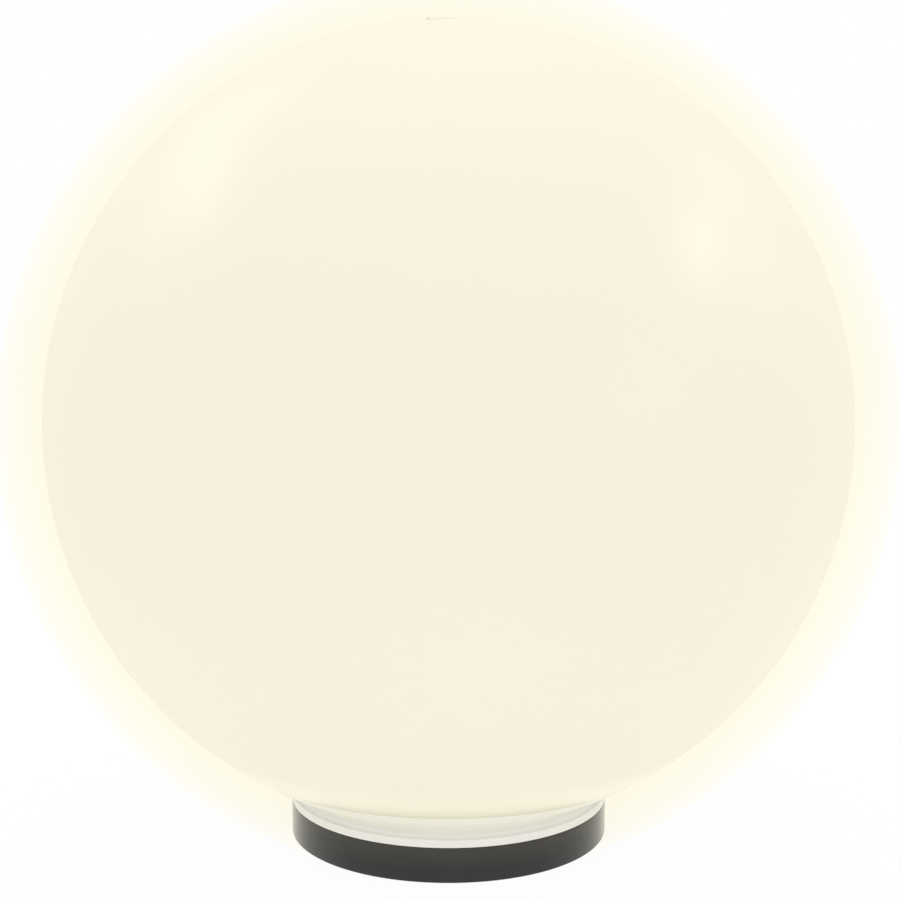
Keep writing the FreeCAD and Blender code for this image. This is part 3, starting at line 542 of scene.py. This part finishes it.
def turned_brass():
    """Brass, machined: yellow, with a little tarnish in patches of 5 mm."""
    material, tree, shader = finish("brass_machined", {"Metallic": 1.0, "Roughness": 0.26})
    noise = grain(tree, shader, 0.005, 0.00003)
    two_tones(tree, shader, noise, "#D4B067", "#B8904A")
    return material


def silicone_lead(name, colour):
    """Silicone insulation, extruded: rubbery and slightly dusty, with a matt skin."""
    material, tree, shader = finish(name, {
        "Base Color": linear(colour), "IOR": 1.43, "Sheen Weight": 0.1})
    noise = grain(tree, shader, 0.0015, 0.00002)
    rough = add(tree, "MapRange", {"Value": noise.outputs["Fac"], "To Min": 0.45, "To Max": 0.6})
    feed(tree, shader, {"Roughness": rough.outputs["Result"]})
    return material


def solder():
    """Tin solder, cooled in place: dull silver, with a skin that crazed over 1 mm."""
    material, tree, shader = finish("tin_solder", {
        "Base Color": linear("#C4C5C4"), "Metallic": 1.0})
    noise = grain(tree, shader, 0.001, 0.00004)
    rough = add(tree, "MapRange", {"Value": noise.outputs["Fac"], "To Min": 0.25, "To Max": 0.5})
    feed(tree, shader, {"Roughness": rough.outputs["Result"]})
    return material


def insulating_glass():
    """Black vitreous insulator, moulded hot: deep gloss with slow ripples over 3 mm."""
    material, tree, shader = finish("black_vitreous_insulator", {
        "Base Color": linear("#101013"), "Roughness": 0.08, "IOR": 1.52})
    grain(tree, shader, 0.003, 0.0001, 1.0)
    return material


def bulb_polycarbonate():
    """White polycarbonate, moulded: smooth and glossy, with a faint orange peel of 2 mm."""
    material, tree, shader = finish("bulb_polycarbonate_white", {
        "Base Color": linear("#EEEDE8"), "Roughness": 0.25, "IOR": 1.58})
    grain(tree, shader, 0.002, 0.00002)
    return material


def lit_dome():
    """Opal polycarbonate, blown and lit: brightest at its top, with a satin skin."""
    material, tree, shader = finish("bulb_dome_opal", {
        "Base Color": linear("#F2EEDF"), "Roughness": 0.4, "IOR": 1.58,
        "Emission Color": (1.0, 0.90, 0.70, 1.0)})
    low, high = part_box("bulb_diffuser")
    feed(tree, shader, {"Emission Strength": height_share(tree, low.z, high.z, 0.5, 1.2)})
    grain(tree, shader, 0.002, 0.00002)
    return material


def board_mask():
    """Aluminium-core board under white solder mask: satin, with ring tracks 3 mm apart."""
    material, tree, shader = finish("led_board_mask", {"Roughness": 0.35, "IOR": 1.5})
    place = add(tree, "TexCoord", {})
    tracks = add(tree, "TexWave", {
        "Vector": place.outputs["Object"], "Scale": 2 * math.pi / 0.003 / 20},
        wave_type="RINGS", rings_direction="Z")
    two_tones(tree, shader, tracks, "#E3E5E2", "#F1F2EF")
    return material


def led_phosphor():
    """Phosphor in silicone on each chip: egg yellow, glossy and lit."""
    material, tree, shader = finish("led_phosphor", {
        "Roughness": 0.2, "IOR": 1.43, "Emission Color": (1.0, 0.85, 0.5, 1.0),
        "Emission Strength": 1.5})
    noise = grain(tree, shader, 0.001, 0.00002)
    two_tones(tree, shader, noise, "#F0B92E", "#F7D365")
    return material


def driver_board():
    """Green glass-epoxy board with woven threads just showing under its mask."""
    material, tree, shader = finish("driver_board_epoxy", {"Roughness": 0.35, "IOR": 1.54})
    place = add(tree, "TexCoord", {})
    weave = add(tree, "TexWave", {
        "Vector": place.outputs["Object"], "Scale": 2 * math.pi / 0.0008 / 20},
        bands_direction="DIAGONAL")
    two_tones(tree, shader, weave, "#1A5530", "#22663B")
    return material


# The pieces

class GLOBELIGHT_OT_globe(Operator):
    """Make the opal globe, and the scar near its top where the blown sphere was pinched off"""

    bl_idname = "globe_light.globe"
    bl_label = "Opal globe"

    def execute(self, context):
        size = settings().globe
        mouth = math.asin(size.mouth_radius / GLOBE_R)
        outside = sphere_arc(GLOBE_R, mouth + size.lip / GLOBE_R, math.pi, 150)
        inside = sphere_arc(GLOBE_R - size.wall, math.pi, mouth, 70)
        outside[-1, 0] = 0.0
        inside[0, 0] = 0.0
        bevel = sphere_arc(GLOBE_R - size.lip, mouth, mouth, 1)
        shell = turned(np.concatenate([outside, inside, bevel]), 256)
        make_piece("globe_shell", [shell], opal_acrylic(), "globe", ["globe"])
        make_piece("globe_scar", [self.scar(size), self.nib(size)], scar_acrylic(),
                   "globe")
        return {"FINISHED"}

    def scar(self, size):
        """A low wavy ridge: u runs along it, and v round it from one foot over the crest.

        Across the front it sits at x = length * (u - 1/2) - shift, and its angle from the top
        is tilt + swing * sin(2 pi u + phase). With taper = sqrt(sin(pi u)), its height over the
        skin is height * taper * cos(v), and its half width is width * taper * sin(v).
        """
        rings, around = 72, 16
        tilt, swing, phase, width = 0.200, 0.016, 0.6, 0.0013
        along = np.linspace(0, 1, rings)[:, None]
        round_it = np.linspace(0, 2 * np.pi, around + 1)[None, :-1]
        taper = np.sqrt(np.sin(np.pi * np.clip(along, 0.004, 0.996)))
        sideways = np.arcsin((size.scar_length * (along - 0.5) - size.scar_shift) / GLOBE_R)
        sideways = np.repeat(sideways, around, axis=1)
        wavy = tilt + swing * np.sin(2 * np.pi * along + phase)
        down = wavy + width / GLOBE_R * taper * np.sin(round_it)
        radius = GLOBE_R + size.scar_height * taper * np.cos(round_it)
        points = np.stack([
            radius * np.sin(sideways), -radius * np.sin(down) * np.cos(sideways),
            GLOBE_Z + radius * np.cos(down) * np.cos(sideways)], axis=-1)
        return tube_grid(points.reshape(-1, 3), rings)

    def nib(self, size):
        """The torn-off tail at the scar's left end: a small dome whose middle runs up to a thread.

        It is turned about Z, with height = dome * (1 - (r / wide)^2) + thread * exp(-(r / thin)^2).
        """
        wide, thin, dome, thread = 0.0012, 0.00014, 0.0007, 0.0018
        root, inset, tilt = -0.0006, 0.0008, 0.209
        end = -size.scar_shift - size.scar_length / 2
        front = -GLOBE_R * math.sin(tilt)
        skin = GLOBE_Z + math.sqrt(GLOBE_R ** 2 - end ** 2 - front ** 2)
        r = np.linspace(wide, 0, 24)
        height = dome * (1 - (r / wide) ** 2) + thread * np.exp(-(r / thin) ** 2)
        profile = np.concatenate([[(0.0, root), (wide, root)], np.column_stack([r, height])])
        return moved(turned(profile, 24), (end + inset, front, skin))


class GLOBELIGHT_OT_cup(Operator):
    """Make the white cup bonded into the globe: its spigot, round skin, neck and flared foot"""

    bl_idname = "globe_light.cup"
    bl_label = "White cup"

    def execute(self, context):
        globe, neck = settings().globe, settings().neck
        glue, play = 0.0001, 0.00015
        joint = math.asin(globe.mouth_radius / GLOBE_R) - glue / GLOBE_R
        lap = joint + neck.spigot_lap / GLOBE_R
        spigot = GLOBE_R - globe.wall - play
        inner = spigot - neck.cup_wall
        bore = neck.skirt_radius + play
        reach = GLOBE_R + neck.fillet
        meets = math.asin((neck.neck_radius + neck.fillet) / reach)
        middle = (neck.neck_radius + neck.fillet, GLOBE_Z - reach * math.cos(meets))
        foot = (neck.neck_radius + neck.foot, CUP_LOW.z + neck.foot)
        profile = np.concatenate([
            sphere_arc(GLOBE_R, joint - globe.lip / GLOBE_R, meets, 40),
            round_arc(middle, neck.fillet, 90 + math.degrees(meets), 180, 12)[1:],
            round_arc(foot, neck.foot, 180, 270, 10),
            [(bore, CUP_LOW.z)],
            sphere_arc(inner, math.asin(bore / inner), lap, 24),
            sphere_arc(spigot, lap, joint, 12),
            sphere_arc(GLOBE_R - globe.lip, joint, joint, 1),
        ])
        make_piece("cup_white", [turned(profile, 240)], white_abs(), "globe",
                   ["globe_cup"])
        return {"FINISHED"}


class GLOBELIGHT_OT_collar(Operator):
    """Make the white collar: its flange, rim and skirt, and the lock's three lugs"""

    bl_idname = "globe_light.collar"
    bl_label = "White collar"

    def execute(self, context):
        neck = settings().neck
        edge = neck.flange_edge
        outer = round(COLLAR_HIGH.x, 4)
        foot = RING_HIGH.z
        top = foot + neck.flange_height
        skirt = neck.skirt_radius
        bore = skirt - neck.skirt_wall
        rim = 0.0013
        pocket = outer - rim
        profile = np.concatenate([
            round_arc((outer - edge, top - edge), edge, 90, 0),
            [(outer, foot), (pocket, foot), (pocket, SEAL_HIGH.z), (skirt, SEAL_HIGH.z)],
            round_arc((skirt - edge, COLLAR_LOW.z + edge), edge, 0, -90),
            round_arc((bore + edge, COLLAR_LOW.z + edge), edge, -90, -180),
            round_arc((bore + edge, COLLAR_HIGH.z - edge), edge, 180, 90),
            round_arc((skirt - edge, COLLAR_HIGH.z - edge), edge, 90, 0),
            [(skirt, top)],
        ])
        parts = [turned(profile, 240)] + [self.lug(start) for start in (40.0, 160.0, 280.0)]
        make_piece("collar_white", parts, bpy.data.materials["white_abs_moulded"],
                   "globe", ["neck_collar"])
        return {"FINISHED"}

    def lug(self, start):
        """One lug: a softened section carried round by t and up by pitch * t / (2 pi)."""
        neck = settings().neck
        sunk, reach, thick, soft, span, rings = 0.001, 0.0035, 0.0024, 0.0004, 24.0, 20
        root, tip = neck.skirt_radius - sunk, neck.skirt_radius + reach
        low = COLLAR_LOW.z + soft / 2
        high = low + thick
        section = np.concatenate([
            [(root, low)],
            round_arc((tip - soft, low + soft), soft, -90, 0, 5),
            round_arc((tip - soft, high - soft), soft, 0, 90, 5),
            [(root, high)],
        ])
        turn = np.radians(np.linspace(0, span, rings))[:, None]
        angle = turn + math.radians(start)
        rise = section[:, 1] + neck.lock_pitch * turn / (2 * np.pi)
        points = np.stack([
            section[:, 0] * np.cos(angle), section[:, 0] * np.sin(angle), rise], axis=-1)
        return tube_grid(points.reshape(-1, 3), rings)


class GLOBELIGHT_OT_base(Operator):
    """Finish the black base ring, its floor plate, the seal and the grommet"""

    bl_idname = "globe_light.base"
    bl_label = "Base"

    def execute(self, context):
        black = black_polypropylene()
        rubber = epdm_rubber()
        smooth_node("base_housing", black)
        smooth_node("base_floor", black)
        smooth_node("neck_seal", rubber)
        smooth_node("cable_grommet", rubber)
        return {"FINISHED"}


class GLOBELIGHT_OT_lampholder(Operator):
    """Finish the steel strap and the lampholder on it, and make its threaded shell"""

    bl_idname = "globe_light.lampholder"
    bl_label = "Lampholder"

    def execute(self, context):
        brass = turned_brass()
        smooth_node("lamp_bracket", galvanised_sheet())
        smooth_node("lampholder_body", glazed_porcelain())
        smooth_node("centre_contact", brass)
        smooth_node("holder_terminals", brass)
        self.shell()
        return {"FINISHED"}

    def shell(self):
        """The screw shell: its bore waves as the thread does, and fades to plain at both ends."""
        wall, hole, seat = 0.0005, 0.0105, HOLDER_LOW.z + 0.013
        height = np.linspace(seat + wall, SHELL_HIGH.z, 110)
        outer = round(SHELL_HIGH.x, 4)
        bore = np.column_stack([np.full(110, outer - wall), height])
        rest = np.array([
            (outer, SHELL_HIGH.z), (outer, seat), (hole, seat), (hole, seat + wall)])
        wave = np.concatenate([
            faded(height, 0.002, 0.002) * settings().lamp.thread_wave, np.zeros(len(rest))])
        shell = turned(np.concatenate([bore, rest]), 120, wave)
        pin, foot, top = 0.0013, SHELL_LOW.z, seat + 0.0003
        tail = turned(np.array([(0.0, foot), (pin, foot), (pin, top), (0.0, top)]), 24)
        make_piece("screw_shell", [shell, moved(tail, (0.01225, -0.002, 0.0))], rolled_nickel(),
                   "base", ["lampholder_shell"])


class GLOBELIGHT_OT_bulb(Operator):
    """Finish the LED bulb: its threaded cap, contact, insulator, body, dome, board and driver"""

    bl_idname = "globe_light.bulb"
    bl_label = "LED bulb"

    def execute(self, context):
        smooth_node("bulb_contact", solder())
        smooth_node("cap_insulator", insulating_glass())
        smooth_node("bulb_housing", bulb_polycarbonate())
        smooth_node("bulb_diffuser", lit_dome())
        smooth_node("led_board", board_mask())
        smooth_node("led_chips", led_phosphor())
        smooth_node("bulb_driver", driver_board())
        self.cap()
        return {"FINISHED"}

    def cap(self):
        """The cap: a coned foot and a wall whose outside waves as the thread does."""
        low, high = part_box("bulb_cap")
        wall, foot, rim = 0.0004, 0.0098, 0.0005
        crest = round(high.x, 4)
        height = np.linspace(low.z + 0.0034, high.z, 110)
        depth = faded(height, 0.002, 0.004) * settings().lamp.thread_wave
        outside = np.column_stack([crest - depth, height])
        rest = np.array([
            (crest - wall, high.z), (crest - wall, low.z + 0.0036),
            (foot, low.z + rim), (foot, low.z)])
        wave = np.concatenate([depth, np.zeros(len(rest))])
        make_piece("cap_threaded", [turned(np.concatenate([outside, rest]), 120, wave)],
                   bpy.data.materials["nickel_plated_brass"], "bulb", ["bulb_cap"])


class GLOBELIGHT_OT_wiring(Operator):
    """Finish the terminal block, its inserts, the two leads and the cord clamp"""

    bl_idname = "globe_light.wiring"
    bl_label = "Wiring"

    def execute(self, context):
        nylon = natural_nylon()
        smooth_node("terminal_block", nylon)
        smooth_node("cord_clamp", nylon)
        smooth_node("terminal_inserts", bpy.data.materials["brass_machined"])
        smooth_node("lead_live", silicone_lead("silicone_brown", "#5B3A22"))
        smooth_node("lead_neutral", silicone_lead("silicone_blue", "#2456A6"))
        return {"FINISHED"}


class GLOBELIGHT_OT_fixings(Operator):
    """Make the screws, each with a rounded head and a cross recess"""

    bl_idname = "globe_light.fixings"
    bl_label = "Screws"

    def execute(self, context):
        zinc = zinc_plated()
        smooth_node("terminal_screws", zinc)
        for node, shank, head, rise, hung in (
            ("clamp_screws", 0.00175, 0.0034, 0.0022, False),
            ("bracket_screws", 0.00175, 0.0034, 0.0022, False),
            ("lampholder_screws", 0.0016, 0.0030, 0.0020, True),
            ("block_screw", 0.0016, 0.0030, 0.0020, True),
        ):
            low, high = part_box(node)
            points, faces = self.screw(shank, head, rise, high.z - low.z)
            if hung:
                points = points * (1, -1, -1)
            foot = high.z if hung else low.z
            reach = (high.x - low.x) / 2 - head
            sides = (-1, 1) if reach > head else (0,)
            place = (low.y + high.y) / 2
            parts = [moved((points, faces), (side * reach, place, foot)) for side in sides]
            make_piece(node + "_cross", parts, zinc, "base", [node])
        return {"FINISHED"}

    def screw(self, shank, head, rise, length):
        """A turned screw that stands on its tip, with a cross sunk into its head.

        The head's edge is a quarter round, and the cross lowers the flat top by
        depth * clip((half_arm - min(|x|, |y|)) / arm_slope)
              * clip((half_cross - max(|x|, |y|)) / end_slope).
        """
        edge, depth = rise * 0.45, rise * 0.5
        half_arm, arm_slope = 0.0005, 0.0002
        half_cross, end_slope = 0.62 * head, 0.0003
        flat = head - edge
        seat = length - rise
        profile = np.concatenate([
            [(0.0, 0.0), (shank, 0.0), (shank, seat), (head, seat)],
            round_arc((flat, length - edge), edge, 0, 90, 6),
            np.column_stack([np.linspace(flat, 0, 16)[1:], np.full(15, length)]),
        ])
        points, faces = turned(profile, 64)
        x, y = np.abs(points[:, 0]), np.abs(points[:, 1])
        arm = np.clip((half_arm - np.minimum(x, y)) / arm_slope, 0, 1)
        end = np.clip((half_cross - np.maximum(x, y)) / end_slope, 0, 1)
        on_top = points[:, 2] > length - 1e-7
        points[:, 2] -= np.where(on_top, depth * arm * end, 0.0)
        return points, faces


class GLOBELIGHT_OT_stage(Operator):
    """Set the floor, the surroundings, the soft lamps, the globe's halo and the camera"""

    bl_idname = "globe_light.stage"
    bl_label = "Stage"

    def execute(self, context):
        self.surroundings()
        self.floor()
        self.halo()
        self.lamps()
        self.camera()
        context.scene.view_settings.view_transform = "Standard"
        return {"FINISHED"}

    def seen(self, tree, *rays):
        """1 for the kinds of ray named, as Light Path calls them, and 0 for light that falls."""
        path = add(tree, "LightPath", {})
        kind = path.outputs[rays[0]]
        for ray in rays[1:]:
            either = add(tree, "Math", {0: kind, 1: path.outputs[ray]}, operation="MAXIMUM")
            kind = either.outputs["Value"]
        return kind

    def surroundings(self):
        """White to the camera, in gloss and through clear parts, and a plain soft light besides."""
        world = bpy.data.worlds.new("studio")
        bpy.context.scene.world = world
        world.use_nodes = True
        tree = world.node_tree
        tree.nodes.clear()
        seen = self.seen(tree, "Is Camera Ray", "Is Glossy Ray", "Is Transmission Ray")
        light = add(tree, "Background", {"Color": (1, 1, 1, 1), "Strength": 1.0})
        white = add(tree, "Background", {"Color": (1, 1, 1, 1), "Strength": 1.0})
        mix = add(tree, "MixShader", {
            0: seen, 1: light.outputs["Background"], 2: white.outputs["Background"]})
        add(tree, "OutputWorld", {"Surface": mix.outputs["Shader"]})

    def floor(self):
        """A pale matt floor that shows as white and keeps a trace of the object's shadow."""
        half, drop = 4.0, -0.0002
        corners = np.array([
            (-half, -half, drop), (half, -half, drop), (half, half, drop), (-half, half, drop)])
        material, tree, shader = finish("pale_floor", {
            "Base Color": linear("#F2F2F0"), "Roughness": 0.9})
        seen = self.seen(tree, "Is Camera Ray", "Is Glossy Ray")
        share = add(tree, "Math", {0: seen, 1: 0.95}, operation="MULTIPLY")
        glow = add(tree, "Emission", {"Color": (1, 1, 1, 1), "Strength": 1.0})
        mix = add(tree, "MixShader", {
            0: share.outputs["Value"], 1: shader.outputs["BSDF"], 2: glow.outputs["Emission"]})
        feed(tree, tree.nodes["Material Output"], {"Surface": mix.outputs["Shader"]})
        make_piece("floor", [(corners, [[0, 1, 2, 3]])], material)

    def halo(self):
        """Painted warm halo round the lit globe, taking a little blue from the white behind it."""
        outline = sphere_arc(GLOBE_R + settings().stage.halo, 0, math.pi, 65)
        outline[[0, -1], 0] = 0.0
        material = bpy.data.materials.new("painted_warm_halo")
        material.use_nodes = True
        tree = material.node_tree
        tree.nodes.clear()
        # Over the 0.19 m that light crosses beside the globe this leaves 96% green and 80% blue.
        seen = self.seen(tree, "Is Camera Ray")
        thick = add(tree, "Math", {0: seen, 1: 1.16}, operation="MULTIPLY")
        halo_tint = add(tree, "VolumeAbsorption", {
            "Color": (1.0, 0.8365, 0.0, 1.0), "Density": thick.outputs["Value"]})
        add(tree, "OutputMaterial", {"Volume": halo_tint.outputs["Volume"]})
        make_piece("halo", [turned(outline, 96)], material)

    def lamps(self):
        """Soft boxes high on each side that show in the gloss, and three fills that don't.

        Each has its place, its width and height, its roll in degrees and its power in watts, and
        looks at the globe's middle. The two fills in front are a little cool.
        """
        white, cool = (1.0, 1.0, 1.0), (0.88, 0.94, 1.0)
        for name, place, wide, high, roll, power in (
            ("soft_left", (-1.36, 0.80, 1.55), 1.5, 0.80, -12.0, 1.9),
            ("soft_left_strip", (-1.51, 0.48, 1.61), 0.9, 0.14, -12.0, 0.6),
            ("soft_right", (1.62, 0.62, 1.25), 1.2, 0.70, 31.0, 1.0),
            ("soft_right_strip", (1.75, -0.03, 1.44), 0.7, 0.14, 31.0, 1.6),
            ("fill_top", (0.0, 0.6, 2.3), 1.8, 1.2, 0.0, 13.0),
            ("fill_front_left", (-1.9, -1.8, 0.5), 1.6, 1.4, 0.0, 8.0),
            ("fill_front_right", (1.9, -1.8, 0.5), 1.6, 1.4, 0.0, 9.0),
        ):
            lamp = bpy.data.lights.new(name, "AREA")
            lamp.shape = "RECTANGLE"
            lamp.size = wide
            lamp.size_y = high
            lamp.energy = power
            lamp.color = cool if name.startswith("fill_front") else white
            holder = bpy.data.objects.new(name, lamp)
            bpy.context.scene.collection.objects.link(holder)
            holder.location = place
            holder.visible_glossy = name.startswith("soft")
            towards = holder.location.copy()
            towards.z -= GLOBE_Z
            turn = Quaternion((0.0, 0.0, 1.0), math.radians(roll))
            holder.rotation_euler = (towards.to_track_quat("Z", "Y") @ turn).to_euler()

    def camera(self):
        """The photograph's view: from the front and a little above."""
        stage = settings().stage
        lens = bpy.data.cameras.new("camera")
        lens.sensor_width = 36.0
        lens.lens = stage.focal_length
        lens.clip_start = 0.01
        camera = bpy.data.objects.new("camera", lens)
        bpy.context.scene.collection.objects.link(camera)
        camera.location = (stage.camera_side, -stage.camera_distance, stage.camera_height)
        camera.rotation_euler = (math.pi / 2 - stage.camera_tilt, 0.0, 0.0)
        bpy.context.scene.camera = camera


SETTINGS = (GlobeSettings, NeckSettings, LampSettings, StageSettings, GlobeLight)
OPERATORS = (
    GLOBELIGHT_OT_globe, GLOBELIGHT_OT_cup, GLOBELIGHT_OT_collar, GLOBELIGHT_OT_base,
    GLOBELIGHT_OT_lampholder, GLOBELIGHT_OT_bulb, GLOBELIGHT_OT_wiring, GLOBELIGHT_OT_fixings,
    GLOBELIGHT_OT_stage,
)


class GLOBELIGHT_PT_panel(Panel):
    """Lists the pieces of the light"""

    bl_label = "Garden globe light"
    bl_idname = "GLOBELIGHT_PT_panel"
    bl_space_type = "VIEW_3D"
    bl_region_type = "UI"
    bl_category = "Globe light"

    def draw(self, context):
        for operator in OPERATORS:
            self.layout.operator(operator.bl_idname)


def register():
    """Register the settings, the operators and the panel."""
    for item in SETTINGS + OPERATORS + (GLOBELIGHT_PT_panel,):
        bpy.utils.register_class(item)
    bpy.types.Scene.globe_light = PointerProperty(type=GlobeLight)


def unregister():
    """Undo register."""
    del bpy.types.Scene.globe_light
    for item in reversed(SETTINGS + OPERATORS + (GLOBELIGHT_PT_panel,)):
        bpy.utils.unregister_class(item)


def main():
    """Make every piece and the stage."""
    register()
    bpy.ops.globe_light.globe()
    bpy.ops.globe_light.cup()
    bpy.ops.globe_light.collar()
    bpy.ops.globe_light.base()
    bpy.ops.globe_light.lampholder()
    bpy.ops.globe_light.bulb()
    bpy.ops.globe_light.wiring()
    bpy.ops.globe_light.fixings()
    bpy.ops.globe_light.stage()


if __name__ == "__main__":
    main()
